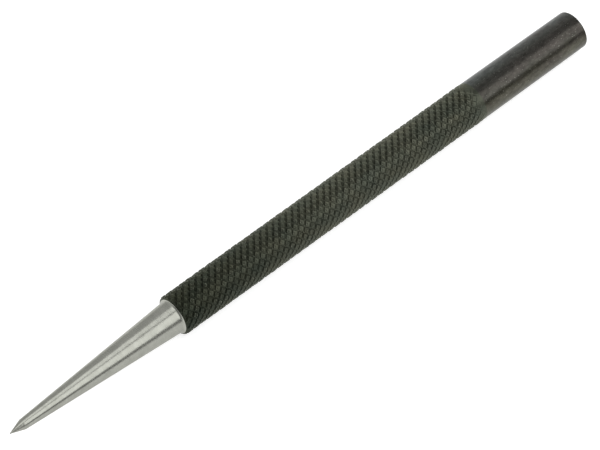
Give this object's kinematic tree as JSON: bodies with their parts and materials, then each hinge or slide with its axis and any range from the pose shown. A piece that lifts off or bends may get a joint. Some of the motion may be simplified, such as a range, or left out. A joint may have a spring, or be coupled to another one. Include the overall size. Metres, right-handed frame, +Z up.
{
  "type": "center punch",
  "caption": "Slender round steel punch with a bright tapered marking point, a blackened diamond-knurled grip and a smooth striking head.",
  "frame": {"origin": "on the surface the punch lies on, under the middle of its length", "axes": "+X along the punch's axis from the marking point to the striking face, +Z up, +Y across"},
  "size_m": [0.125, 0.0072, 0.0072],
  "materials": {
    "ground_steel": "ground bright, satin",
    "blackened_knurl": "black oxide over a diamond knurl",
    "blackened_head": "smooth black oxide, satin"
  },
  "bodies": {
    "root": {"tapered_point": "ground_steel", "knurled_grip": "blackened_knurl", "striking_head": "blackened_head"}
  },
  "joints": []
}
